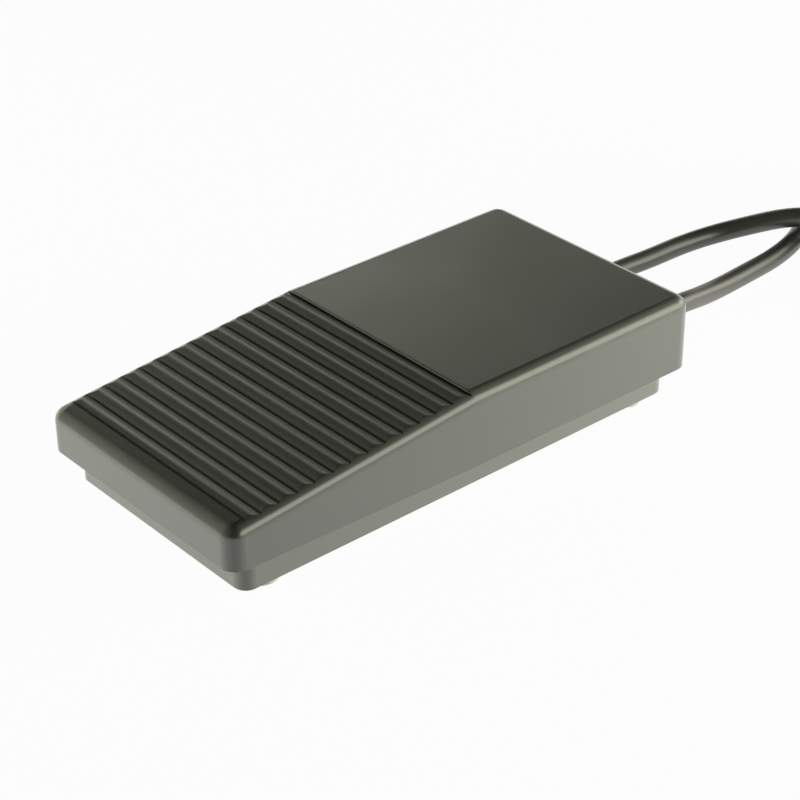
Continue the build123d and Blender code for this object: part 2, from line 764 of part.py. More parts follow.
# Free lead: out of the strain relief, down to the floor and to the coil
coil_x = 28.0
coil_y = taper_end_y + 131.2
coil_outer_radius = 51.8
coil_inner_radius = 20.7
coil_layers = 2
coil_sides = 32
lead_points = [
    (cord_x, taper_end_y, cord_z),
    (cord_x, taper_end_y + 9.7, cord_z),
    (8.4, taper_end_y + 19.7, 4.9),
    (6.3, taper_end_y + 30.7, cord_radius),
    (5.2, taper_end_y + 46.2, cord_radius),
    (4.2, taper_end_y + 59.2, cord_radius),
    (0.5, taper_end_y + 73.2, cord_radius),
    (-6.8, taper_end_y + 87.7, cord_radius),
    (-13.5, taper_end_y + 102.2, cord_radius),
]
return_points = [
    (31.4, taper_end_y + 82.0, 9.4),
    (14.5, taper_end_y + 81.6, 10.6),
    (-0.7, taper_end_y + 75.7, 10.8),
    (-17.0, taper_end_y + 60.5, 4.0),
    (-20.9, taper_end_y + 45.2, cord_radius),
    (-20.9, taper_end_y + 30.2, cord_radius),
    (-21.9, taper_end_y + 18.2, cord_radius),
    (-21.9, taper_end_y + 7.2, cord_radius),
]
cord_tubes = []
for tube_name, tube_points in (("cord_lead", lead_points), ("cord_return", return_points)):
    tube_radii = corner_radii(tube_points)
    print(tube_name, "radii", [round(radius, 1) for radius in tube_radii])
    with BuildPart() as tube:
        with BuildLine() as tube_route:
            FilletPolyline(*tube_points, radius=tube_radii)
        with BuildSketch(Plane(origin=tube_route.line @ 0, z_dir=tube_route.line % 0)) as section:
            RegularPolygon(cord_radius, cord_sides)
        sweep(path=tube_route.line)
    section_length = tube_route.wires()[0].length * section.sketch.area
    print(tube_name, "volume over section times length", round(tube.part.volume / section_length, 4))
    tube.part.label = tube_name
    cord_tubes.append(tube.part)

# Coil of the put-away length, as the ring that its turns fill
with BuildPart() as cord_coil:
    with BuildSketch():
        with Locations((coil_x, coil_y)):
            RegularPolygon(coil_outer_radius, coil_sides)
            RegularPolygon(coil_inner_radius, coil_sides, mode=Mode.SUBTRACT)
    extrude(amount=coil_layers * cord_diameter)
cord_coil.part.label = "cord_coil"

# Stripped far end: three short cores that fan out on the floor, each with a crimped ferrule
tail_end_x, tail_end_y, tail_end_z = return_points[-1]
tail_length = 15.0
tail_floor_z = core_diameter / 2
ferrule_length = 6.0
ferrule_diameter = 1.6
tail_fan = {"brown": -4.0, "black": 0.0, "grey": 4.0}
tails = []
ferrule_places = []
for colour, (offset_x, offset_z) in core_offsets.items():
    start_x = tail_end_x + offset_x
    start_z = tail_end_z + offset_z
    fan_x = start_x + tail_fan[colour]
    tail_points = [
        (start_x, tail_end_y, start_z),
        (start_x, tail_end_y - 0.3 * tail_length, start_z),
        (start_x + 0.5 * tail_fan[colour], tail_end_y - 0.65 * tail_length, tail_floor_z),
        (fan_x, tail_end_y - tail_length, tail_floor_z),
    ]
    with BuildPart() as tail:
        with BuildLine() as tail_route:
            FilletPolyline(*tail_points, radius=corner_radii(tail_points))
        with BuildSketch(Plane(origin=tail_route.line @ 0, z_dir=tail_route.line % 0)):
            RegularPolygon(core_diameter / 2, core_sides)
        sweep(path=tail_route.line)
    tail.part.label = "tail_" + colour
    tails.append(tail.part)
    ferrule_places.append(Plane(origin=tail_route.line @ 1, z_dir=tail_route.line % 1))

with BuildPart() as wire_ferrules:
    for ferrule_plane in ferrule_places:
        with BuildSketch(ferrule_plane):
            RegularPolygon(ferrule_diameter / 2, core_sides)
        extrude(amount=ferrule_length)
wire_ferrules.part.label = "wire_ferrules"

# Write one file for each piece
single_pieces = [
    pedal_cover, base_tray, hinge_pin, switch_case, switch_lid, switch_plunger, switch_lever,
    switch_screws, cord_clamp, clamp_screws, strain_relief, cord_jacket, cord_coil, wire_ferrules,
]
pieces = [piece.part for piece in single_pieces]
pieces += feet + clips + springs + stops + blades + cores + cord_tubes + tails
os.makedirs("parts", exist_ok=True)
for piece in pieces:
    export_step(piece, f"parts/{piece.label}.step")
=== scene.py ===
import logging
import math
from dataclasses import dataclass, field
from enum import Enum

import bpy
import numpy as np
from mathutils import Matrix, Vector


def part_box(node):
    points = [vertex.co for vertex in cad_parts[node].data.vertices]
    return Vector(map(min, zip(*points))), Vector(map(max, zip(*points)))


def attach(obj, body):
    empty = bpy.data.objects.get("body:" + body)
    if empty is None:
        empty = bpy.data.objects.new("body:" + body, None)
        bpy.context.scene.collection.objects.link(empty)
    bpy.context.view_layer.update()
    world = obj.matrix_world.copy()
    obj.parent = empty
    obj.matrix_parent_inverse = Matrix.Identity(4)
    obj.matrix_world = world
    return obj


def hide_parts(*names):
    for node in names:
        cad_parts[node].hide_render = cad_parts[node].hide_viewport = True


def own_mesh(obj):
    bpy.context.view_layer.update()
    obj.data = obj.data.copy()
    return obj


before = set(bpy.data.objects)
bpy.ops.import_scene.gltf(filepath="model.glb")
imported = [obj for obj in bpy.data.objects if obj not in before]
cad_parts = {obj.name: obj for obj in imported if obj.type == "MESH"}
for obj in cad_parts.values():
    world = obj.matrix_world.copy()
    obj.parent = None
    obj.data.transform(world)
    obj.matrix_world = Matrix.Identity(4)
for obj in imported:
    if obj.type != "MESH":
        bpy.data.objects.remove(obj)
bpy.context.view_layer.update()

log = logging.getLogger("foot_switch")
Point = tuple[float, float, float]
MM = 0.001
STRAND_STEPS = 8  # pieces drawn for each control point of a strand
STRAND_ROUND = 6  # fineness of a strand's round section


class Side(Enum):
    """Which half of the pedal a piece belongs to, seen from the toe."""

    LEFT = -1
    RIGHT = 1


class Core(Enum):
    """The three insulated cores of the lead: where each lies in it, its colour and how far it fans out."""

    BROWN = ("brown", -1.2, -0.7, -4.0)
    BLACK = ("black", 0.0, 1.4, 0.0)
    GREY = ("grey", 1.2, -0.7, 4.0)

    @property
    def colour(self) -> str:
        """The colour's name, which ends the names of its pieces."""
        return self.value[0]

    @property
    def across(self) -> float:
        """Offset from the lead's middle across, in millimetres."""
        return self.value[1]

    @property
    def above(self) -> float:
        """Offset from the lead's middle upwards, in millimetres."""
        return self.value[2]

    @property
    def fan(self) -> float:
        """How far the stripped end fans out across, in millimetres."""
        return self.value[3]


def linear(code: str) -> tuple[float, float, float, float]:
    """Turns an sRGB hex colour into linear light, by the standard piecewise curve.

    Args:
        code: six hex digits after a hash sign.

    Returns:
        Red, green, blue and an alpha of one.
    """
    shares = np.array([int(code[i : i + 2], 16) for i in (1, 3, 5)]) / 255
    light = np.where(shares <= 0.04045, shares / 12.92, ((shares + 0.055) / 1.055) ** 2.4)
    return (*(float(value) for value in light), 1.0)


def per_metre(size_mm: float) -> float:
    """Texture scale for a pattern of a real size, on coordinates in metres.

    Args:
        size_mm: distance between the pattern's features, in millimetres.

    Returns:
        Features a metre.
    """
    return 1.0 / (size_mm * MM)


def metres(points: list[Point]) -> np.ndarray:
    """Turns a list of points into an array in metres.

    Args:
        points: points in millimetres.

    Returns:
        One row a point, in metres.
    """
    return np.array(points, float) * MM


def add(
    tree: bpy.types.NodeTree, kind: str, settings: dict | None = None, links: dict | None = None
) -> bpy.types.Node:
    """Adds one node with its settings and its incoming links.

    Args:
        tree: the node tree that takes it.
        kind: the node's type name.
        settings: input names or numbers, or the node's own properties, each with its value.
        links: input names or numbers, each with the output socket that feeds it.

    Returns:
        The new node.
    """
    node = tree.nodes.new(kind)
    for key, value in (settings or {}).items():
        if isinstance(key, int) or key in node.inputs:
            node.inputs[key].default_value = value
        else:
            setattr(node, key, value)
    for key, socket in (links or {}).items():
        tree.links.new(socket, node.inputs[key])
    return node


@dataclass(frozen=True)
class Finish:
    """One real material with the way its surface was made, as a procedural Principled material.

    Attributes:
        name: what the material is and how it was made.
        colour: sRGB hex of the body colour.
        roughness: middle of the gloss, from 0, polished, to 1, chalky.
        ior: refractive index of a plastic or rubber.
        metallic: 1 for bare metal.
        grain_mm: size of the fine surface grain.
        grain_depth_mm: depth of that grain.
        drift: how far the colour drifts lighter and darker over the piece, as a share.
        drift_mm: size of those drifts.
        gloss_drift: how far the roughness wanders with them.
        stretch: how much longer the grain is along each axis, as on drawn wire.
        transmission: share of light that passes through.
        specular: Principled's specular level, 0.5 where the index alone sets the gloss.
    """

    name: str
    colour: str
    roughness: float
    ior: float = 1.5
    metallic: float = 0.0
    grain_mm: float = 0.4
    grain_depth_mm: float = 0.004
    drift: float = 0.08
    drift_mm: float = 30.0
    gloss_drift: float = 0.04
    stretch: Point = (1.0, 1.0, 1.0)
    transmission: float = 0.0
    specular: float = 0.5

    def material(self) -> bpy.types.Material:
        """Builds the material once, and gives the same one on later calls.

        Returns:
            The Blender material.
        """
        made = bpy.data.materials.get(self.name)
        if made is not None:
            return made
        made = bpy.data.materials.new(self.name)
        made.use_nodes = True
        tree = made.node_tree
        tree.nodes.clear()
        place = add(tree, "ShaderNodeTexCoord")
        run = add(
            tree,
            "ShaderNodeMapping",
            {"Scale": tuple(1 / share for share in self.stretch)},
            {"Vector": place.outputs["Object"]},
        )
        clouds = add(
            tree,
            "ShaderNodeTexNoise",
            {"Scale": per_metre(self.drift_mm), "Detail": 3.0, "Roughness": 0.55},
            {"Vector": place.outputs["Object"]},
        )
        grain = add(
            tree,
            "ShaderNodeTexNoise",
            {"Scale": per_metre(self.grain_mm), "Detail": 2.0, "Roughness": 0.6},
            {"Vector": run.outputs["Vector"]},
        )
        body = linear(self.colour)
        shades = [tuple(c * (1 + sign * self.drift) for c in body[:3]) + (1.0,) for sign in (-1, 1)]
        tint = add(
            tree,
            "ShaderNodeMix",
            {"data_type": "RGBA", 6: shades[0], 7: shades[1]},
            {0: clouds.outputs["Fac"]},
        )
        gloss = add(
            tree,
            "ShaderNodeMapRange",
            {
                "From Min": 0.3,
                "From Max": 0.7,
                "To Min": self.roughness - self.gloss_drift,
                "To Max": self.roughness + self.gloss_drift,
            },
            {"Value": clouds.outputs["Fac"]},
        )
        bump = add(
            tree,
            "ShaderNodeBump",
            {"Strength": 1.0, "Distance": self.grain_depth_mm * MM},
            {"Height": grain.outputs["Fac"]},
        )
        shader = add(
            tree,
            "ShaderNodeBsdfPrincipled",
            {
                "Metallic": self.metallic,
                "IOR": self.ior,
                "Transmission Weight": self.transmission,
                "Specular IOR Level": self.specular,
            },
            {
                "Base Color": tint.outputs[2],
                "Roughness": gloss.outputs["Result"],
                "Normal": bump.outputs["Normal"],
            },
        )
        add(tree, "ShaderNodeOutputMaterial", links={"Surface": shader.outputs["BSDF"]})
        return made

    def dress(self, *pieces: bpy.types.Object) -> None:
        """Puts the finish on every material slot of the pieces.

        Args:
            pieces: meshes or curves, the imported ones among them.
        """
        for piece in pieces:
            if not piece.material_slots:
                piece.data.materials.append(self.material())
            for slot in piece.material_slots:
                slot.material = self.material()


# Black-olive ABS from a spark-textured mould: a satin skin, dark face on and pale where it mirrors light
COVER_ABS = Finish(
    "satin ABS moulded", "#5a5b51", 0.22, ior=1.54, grain_mm=0.30, grain_depth_mm=0.0015, drift=0.04,
    drift_mm=38.0, gloss_drift=0.02, specular=0.85,
)
# The same plastic from another mould, a shade paler and flatter
TRAY_ABS = Finish(
    "plain ABS moulded", "#67695e", 0.36, ior=1.54, grain_mm=0.35, grain_depth_mm=0.002, drift=0.06,
    drift_mm=24.0, specular=1.0,
)
# Clear soft polyurethane pads, milky at the rim
PAD_PU = Finish(
    "polyurethane pad moulded", "#c9cabd", 0.34, ior=1.49, grain_mm=0.8, drift=0.05, transmission=0.35,
)
# Ground silver steel: a bright pin with fine rings round it
PIN_STEEL = Finish(
    "silver steel ground", "#b9bab8", 0.24, metallic=1.0, grain_mm=0.12, stretch=(1.0, 12.0, 12.0), drift=0.04,
)
# Spring steel drawn through a die: long fine streaks and a grey oily bloom
SPRING_STEEL = Finish(
    "spring steel drawn", "#9a9b9a", 0.30, metallic=1.0, grain_mm=0.15, stretch=(6.0, 6.0, 1.0), drift=0.08,
    drift_mm=3.0,
)
# Zinc-plated screws, slightly mottled
ZINC_STEEL = Finish(
    "steel zinc plated", "#b4b6b3", 0.36, metallic=1.0, grain_mm=0.3, drift=0.10, drift_mm=1.5,
)
# Natural rubber buttons, dull and black
STOP_RUBBER = Finish(
    "natural rubber moulded", "#26272a", 0.78, ior=1.52, grain_mm=0.3, grain_depth_mm=0.01, drift=0.10,
    drift_mm=3.0,
)
# Soft PVC sleeve of the strain relief, duller than the lead that it holds
RELIEF_PVC = Finish(
    "soft PVC moulded", "#2a2a28", 0.55, ior=1.52, grain_mm=0.4, grain_depth_mm=0.006, drift=0.08, drift_mm=6.0,
)
# Extruded PVC sheath: smooth and glossy, with soft long highlights
LEAD_PVC = Finish(
    "PVC sheath extruded", "#45443e", 0.36, ior=1.53, grain_mm=1.2, grain_depth_mm=0.004, drift=0.10,
    drift_mm=9.0, gloss_drift=0.04, specular=1.0,
)
# The thin coloured insulation of the three cores
CORE_PVC = {
    Core.BROWN: Finish("brown PVC extruded", "#5a3423", 0.35, ior=1.53, drift_mm=4.0),
    Core.BLACK: Finish("black PVC extruded", "#222222", 0.35, ior=1.53, drift_mm=4.0),
    Core.GREY: Finish("grey PVC extruded", "#8b8d8f", 0.35, ior=1.53, drift_mm=4.0),
}
# Tinned copper, crimped: soft silver with pressed dull bands
FERRULE_TIN = Finish(
    "copper tinned", "#c3c2bb", 0.32, metallic=1.0, grain_mm=0.2, drift=0.08, drift_mm=1.0,
)
# Glass-filled nylon of the bought switch, dry and dark
CASE_NYLON = Finish(
    "glass filled nylon moulded", "#1f2022", 0.5, ior=1.53, grain_mm=0.25, grain_depth_mm=0.008, drift=0.10,
    drift_mm=2.0,
)
LID_NYLON = Finish(
    "nylon lid moulded", "#2b2c2e", 0.44, ior=1.53, grain_mm=0.3, grain_depth_mm=0.005, drift=0.08, drift_mm=2.0,
)
# Acetal push button, waxy red
PLUNGER_ACETAL = Finish(
    "acetal turned", "#a23324", 0.32, ior=1.48, grain_mm=0.3, stretch=(4.0, 4.0, 1.0), drift=0.05, drift_mm=1.0,
)
# Brass blades with a thin silver wash, warm where it is worn
BLADE_BRASS = Finish(
    "brass silver washed", "#c8b27c", 0.30, metallic=1.0, grain_mm=0.2, stretch=(1.0, 1.0, 8.0), drift=0.12,
    drift_mm=1.5,
)
# Plain black nylon bar that grips the lead
CLAMP_NYLON = Finish(
    "nylon bar moulded", "#2d2e2c", 0.5, ior=1.53, grain_mm=0.4, grain_depth_mm=0.006, drift=0.08, drift_mm=4.0,
)


def grid_piece(name: str, points: np.ndarray) -> bpy.types.Object:
    """Makes a smooth mesh from a grid of points that runs along the first axis and round the second.

    The faces join each point to its next neighbours, and the second axis closes on itself. The ends are
    shut by one face each.

    Args:
        name: the piece's name.
        points: array of rows by columns by three, in metres.

    Returns:
        The new object, at the origin.
    """
    rows, columns, _ = points.shape
    index = np.arange(rows * columns).reshape(rows, columns)
    after = np.roll(index, -1, axis=1)
    quads = np.stack([index[:-1], after[:-1], after[1:], index[1:]], axis=-1).reshape(-1, 4)
    caps = [index[0][::-1].tolist(), index[-1].tolist()]
    mesh = bpy.data.meshes.new(name)
    mesh.from_pydata(points.reshape(-1, 3), [], quads.tolist() + caps)
    mesh.polygons.foreach_set("use_smooth", np.ones(len(mesh.polygons), bool))
    mesh.update()
    piece = bpy.data.objects.new(name, mesh)
    bpy.context.scene.collection.objects.link(piece)
    return piece


def strand(name: str, points: np.ndarray, diameter_mm: float) -> bpy.types.Object:
    """Makes a round flexible strand as one NURBS spline that is smooth through its control points.

    Args:
        name: the piece's name.
        points: control points in metres.
        diameter_mm: outer diameter.

    Returns:
        The new curve object, at the origin.
    """
    curve = bpy.data.curves.new(name, "CURVE")
    curve.dimensions = "3D"
    curve.bevel_depth = diameter_mm * MM / 2
    curve.bevel_resolution = STRAND_ROUND
    curve.use_fill_caps = True
    curve.resolution_u = STRAND_STEPS
    spline = curve.splines.new("NURBS")
    spline.points.add(len(points) - 1)
    homogeneous = np.hstack([points, np.ones((len(points), 1))])
    spline.points.foreach_set("co", homogeneous.ravel())
    spline.order_u = 3
    spline.use_endpoint_u = True
    spline.use_smooth = True
    piece = bpy.data.objects.new(name, curve)
    bpy.context.scene.collection.objects.link(piece)
    return piece


@dataclass
class PhotoCamera:
    """The camera that took the photograph, in the part's frame."""

    eye_mm: Point = (396.256, -331.679, 321.625)
    right: Point = (0.65283, 0.75747, -0.00695)
    up: Point = (-0.38571, 0.34029, 0.85757)
    back: Point = (0.65195, -0.55717, 0.51432)
    lens_mm: float = 100.92
    sensor_mm: float = 36.0

    def build(self) -> bpy.types.Object:
        """Makes the camera and sets it as the scene's own.

        Returns:
            The camera object.
        """
        data = bpy.data.cameras.new("photo_camera")
        data.lens = self.lens_mm
        data.sensor_width = self.sensor_mm
        data.clip_start = 0.02
        data.clip_end = 30.0
        camera = bpy.data.objects.new("photo_camera", data)
        columns = [Vector(self.right), Vector(self.up), Vector(self.back), Vector(self.eye_mm) * MM]
        camera.matrix_world = Matrix([[*(c[row] for c in columns)] for row in range(3)] + [[0, 0, 0, 1]])
        bpy.context.scene.collection.objects.link(camera)
        bpy.context.scene.camera = camera
        return camera


@dataclass
class PowerLead:
    """The round three-core lead: out of the relief, across the floor, in a put-away coil and back to its bare end.

    Sizes are in millimetres.
    """

    diameter: float = 6.1
    core_diameter: float = 2.2
    stated_length: float = 2000.0
    out_points: list[Point] = field(
        default_factory=lambda: [
            (10.0, 96.8, 7.0),
            (10.0, 106.5, 7.0),
            (8.4, 116.5, 4.9),
            (6.3, 127.5, 3.05),
            (5.2, 143.0, 3.05),
            (4.2, 156.0, 3.05),
            (0.5, 170.0, 3.05),
            (-6.8, 184.5, 3.05),
            (-13.5, 199.0, 3.05),
        ]
    )
    back_points: list[Point] = field(
        default_factory=lambda: [
            (14.5, 178.4, 10.6),
            (-0.7, 172.5, 10.8),
            (-17.0, 157.3, 4.0),
            (-20.9, 142.0, 3.05),
            (-20.9, 127.0, 3.05),
            (-21.9, 115.0, 3.05),
            (-21.9, 104.0, 3.05),
        ]
    )
    coil_middle: tuple[float, float] = (28.0, 228.0)
    coil_entry: float = 190.0
    coil_exit: float = 274.0
    coil_outer: float = 48.4
    coil_step: float = 6.15
    coil_whole_turns: int = 8
    coil_points_per_turn: int = 16
    climb: float = 0.35
    tail_length: float = 15.0
    ferrule_length: float = 6.0
    ferrule_radius: float = 0.8
    ferrule_rings: int = 49
    ferrule_sides: int = 32
    ferrule_bands: int = 3
    ferrule_press: float = 0.10
    ferrule_mouth: float = 0.72
    ferrule_mouth_share: float = 0.05

    def coil(self) -> list[Point]:
        """Control points of the coil, worked out turn by turn.

        The radius falls by one step a turn on the floor layer and grows again on the upper one, and the
        height rises smoothly between the two. Control points stand outside the line by one over the cosine
        of half their spacing, so that the line itself has the wanted radius.

        Returns:
            Points in millimetres.
        """
        total = self.coil_whole_turns - (self.coil_exit - self.coil_entry) / 360
        count = int(total * self.coil_points_per_turn)
        turns = np.arange(count + 1) * total / count
        inner = np.minimum(turns, total - turns)
        radius = (self.coil_outer - self.coil_step * inner) / math.cos(math.pi / self.coil_points_per_turn)
        share = np.clip((turns - total / 2) / (2 * self.climb) + 0.5, 0, 1)
        rise = share * share * (3 - 2 * share)
        angle = np.radians(self.coil_entry) - 2 * np.pi * turns
        return [
            (float(x), float(y), float(z))
            for x, y, z in zip(
                self.coil_middle[0] + radius * np.cos(angle),
                self.coil_middle[1] + radius * np.sin(angle),
                self.diameter / 2 + self.diameter * rise,
            )
        ]

    def build(self) -> None:
        """Makes the lead, the three fanned cores at its far end and their crimped ferrules."""
        route = metres(self.out_points + self.coil() + self.back_points)
        self.lead = strand("lead_sheath", route, self.diameter)
        self.tails = {core: strand(f"stripped_{core.colour}", self.tail(core), self.core_diameter) for core in Core}
        self.ferrules = {core: self.ferrule(core) for core in Core}

    def tail(self, core: Core) -> np.ndarray:
        """Control points of one stripped core, from the sheath's end down to the floor.

        Args:
            core: which of the three.

        Returns:
            Points in metres.
        """
        end_x, end_y, end_z = self.back_points[-1]
        start_x, start_z = end_x + core.across, end_z + core.above
        floor = self.core_diameter / 2
        return metres(
            [
                (start_x, end_y, start_z),
                (start_x, end_y - 0.3 * self.tail_length, start_z),
                (start_x + 0.5 * core.fan, end_y - 0.65 * self.tail_length, floor),
                (start_x + core.fan, end_y - self.tail_length, floor),
            ]
        )

    def ferrule(self, core: Core) -> bpy.types.Object:
        """One crimped ferrule: a tube whose radius dips at three pressed bands and swells between them.

        The radius at a share s of the length and an angle a is the tube's own, less a tenth of it times the
        press of the bands, the squared sine of three half waves, times half of one plus the cosine of four
        times a. It draws in over the last twentieth at each end.

        Args:
            core: which of the three it sits on.

        Returns:
            The new piece.
        """
        points = self.tail(core)
        start, along = points[-1], points[-1] - points[-2]
        along = along / np.linalg.norm(along)
        across = np.cross(along, (0.0, 0.0, 1.0))
        across = across / np.linalg.norm(across)
        above = np.cross(across, along)
        share = np.linspace(0, 1, self.ferrule_rings)[:, None]
        angle = np.linspace(0, 2 * np.pi, self.ferrule_sides, endpoint=False)[None, :]
        press = np.sin(self.ferrule_bands * np.pi * share) ** 2 * self.ferrule_press
        ends = np.clip(np.minimum(share, 1 - share) / self.ferrule_mouth_share, self.ferrule_mouth, 1.0)
        radius = self.ferrule_radius * MM * ends * (1 - press * (1 + np.cos(4 * angle)) / 2)
        middle = start + share[..., None] * along * self.ferrule_length * MM
        ring = np.cos(angle)[..., None] * across + np.sin(angle)[..., None] * above
        return grid_piece(f"ferrule_{core.colour}", middle + radius[..., None] * ring)

    def dress(self) -> None:
        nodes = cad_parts
        LEAD_PVC.dress(self.lead, nodes["cord_jacket"])
        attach(self.lead, "base")
        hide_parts("cord_lead", "cord_coil", "cord_return")
        for core in Core:
            CORE_PVC[core].dress(self.tails[core])
            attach(self.tails[core], "base")
            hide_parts(f"tail_{core.colour}")
            FERRULE_TIN.dress(self.ferrules[core])
            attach(self.ferrules[core], "base")
            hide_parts("wire_ferrules")


@dataclass
class TreadleShell:
    """The hinged cover, one moulded shell with a ribbed toe."""

    node: str = "pedal_cover"

    def dress(self) -> None:
        """Gives the cover its satin moulded skin."""
        COVER_ABS.dress(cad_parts[self.node])


@dataclass
class TrayBase:
    """The moulded base with its pads, stops and the bar that grips the lead."""

    pads: tuple[str, ...] = ("foot_front_left", "foot_front_right", "foot_rear_left", "foot_rear_right")
    stops: tuple[str, ...] = ("bump_stop_left", "bump_stop_right")

    def dress(self) -> None:
        """Gives the tray and what is fixed in it their finishes."""
        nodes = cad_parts
        TRAY_ABS.dress(nodes["base_tray"])
        PAD_PU.dress(*(nodes[name] for name in self.pads))
        STOP_RUBBER.dress(*(nodes[name] for name in self.stops))
        CLAMP_NYLON.dress(nodes["cord_clamp"])
        ZINC_STEEL.dress(nodes["clamp_screws"], nodes["switch_screws"])
        RELIEF_PVC.dress(nodes["strain_relief"])


@dataclass
class HingeSet:
    """The steel pin near the heel and the clips in its grooves."""

    def dress(self) -> None:
        """Gives the pin and its clips their finishes."""
        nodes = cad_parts
        PIN_STEEL.dress(nodes["hinge_pin"])
        SPRING_STEEL.dress(nodes["pin_clip_left"], nodes["pin_clip_right"])


@dataclass
class ReturnSprings:
    """The two compression springs that lift the toe. Sizes are in millimetres."""

    wire: float = 1.0
    diameter: float = 9.0
    coils: float = 6.5
    steps_per_turn: int = 40
    wire_sides: int = 16
    joint: str = "pedal_hinge"
    springs: dict[Side, bpy.types.Object] = field(default_factory=dict)

    def node(self, side: Side) -> str:
        """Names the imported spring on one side.

        Args:
            side: which half of the pedal.

        Returns:
            The node's name.
        """
        return f"return_spring_{side.name.lower()}"

    def build(self) -> None:
        """Winds each spring as a round wire on a helix with closed ends."""
        for side in Side:
            low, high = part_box(self.node(side))
            self.springs[side] = self.wound(side, low, high)

    def wound(self, side: Side, low: Vector, high: Vector) -> bpy.types.Object:
        """Carries a round section along a helix.

        The wire's middle is at the mean radius and climbs one wire thickness in the first and the last turn
        and evenly between them. The section's circle stands square to the helix.

        Args:
            side: which spring.
            low: lowest corner of the space that it fills.
            high: highest corner of that space.

        Returns:
            The new piece.
        """
        radius = (self.diameter - self.wire) / 2 * MM
        bottom, top = low.z + self.wire / 2 * MM, high.z - self.wire / 2 * MM
        turn = np.linspace(0, self.coils, int(self.coils * self.steps_per_turn))
        height = np.interp(
            turn, [0, 1, self.coils - 1, self.coils], [bottom, bottom + self.wire * MM, top - self.wire * MM, top]
        )
        angle = 2 * np.pi * turn
        outward = np.stack([np.cos(angle), np.sin(angle), np.zeros_like(angle)], axis=1)
        middle = Vector(((low.x + high.x) / 2, (low.y + high.y) / 2, 0.0))
        line = np.array(middle) + outward * radius + np.stack([0 * angle, 0 * angle, height], axis=1)
        along = np.gradient(line, axis=0)
        along /= np.linalg.norm(along, axis=1, keepdims=True)
        sideways = np.cross(along, outward)
        around = np.linspace(0, 2 * np.pi, self.wire_sides, endpoint=False)[None, :, None]
        section = np.cos(around) * outward[:, None] + np.sin(around) * sideways[:, None]
        return grid_piece(f"coiled_spring_{side.name.lower()}", line[:, None] + section * self.wire / 2 * MM)

    def dress(self) -> None:
        """Gives the springs drawn steel, hangs them on the base and hides the imported ones."""
        for side, spring in self.springs.items():
            low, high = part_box(self.node(side))
            SPRING_STEEL.dress(spring)
            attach(spring, "base")
            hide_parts(self.node(side))
            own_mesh(spring)


@dataclass
class SnapSwitch:
    """The bought snap-action switch under the treadle, with its lever, button and blades."""

    def dress(self) -> None:
        """Gives each piece of the switch its finish."""
        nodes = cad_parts
        CASE_NYLON.dress(nodes["switch_case"])
        LID_NYLON.dress(nodes["switch_lid"])
        PLUNGER_ACETAL.dress(nodes["switch_plunger"])
        SPRING_STEEL.dress(nodes["switch_lever"])
        BLADE_BRASS.dress(nodes["terminal_common"], nodes["terminal_no"], nodes["terminal_nc"])
        for core in Core:
            CORE_PVC[core].dress(nodes[f"core_{core.colour}"])


@dataclass(frozen=True)
class SoftBox:
    """One soft studio lamp: a glowing rectangle that faces the object.

    Attributes:
        name: the lamp's name.
        azimuth: degrees round from +X towards +Y.
        elevation: degrees above the floor.
        exposure: light on a face turned square to it, where 1 shows a matt colour as it is written.
        width: size across, in metres.
        height: size upwards, in metres.
        distance: from the object, in metres.
    """

    name: str
    azimuth: float
    elevation: float
    exposure: float
    width: float
    height: float
    distance: float

    def build(self, target: Vector) -> None:
        """Makes the lamp, turned towards the target.

        A small lamp gives its exposure with a power of pi squared times its distance squared. A wide one
        gives less for its power, by (a + sin a cos a) / (2 tan a) with a half the angle that it spans.

        Args:
            target: the point that it faces.
        """
        data = bpy.data.lights.new(self.name, "AREA")
        data.shape = "RECTANGLE"
        data.size = self.width
        data.size_y = self.height
        half = math.atan(self.width / 2 / self.distance)
        share = (half + math.sin(half) * math.cos(half)) / (2 * math.tan(half))
        data.energy = self.exposure * (math.pi * self.distance) ** 2 / share
        lamp = bpy.data.objects.new(self.name, data)
        azimuth, elevation = math.radians(self.azimuth), math.radians(self.elevation)
        away = Vector(
            (math.cos(elevation) * math.cos(azimuth), math.cos(elevation) * math.sin(azimuth), math.sin(elevation))
        )
        lamp.location = target + away * self.distance
        lamp.visible_glossy = False
        lamp.rotation_mode = "QUATERNION"
        lamp.rotation_quaternion = (-away).to_track_quat("-Z", "Y")
        bpy.context.scene.collection.objects.link(lamp)


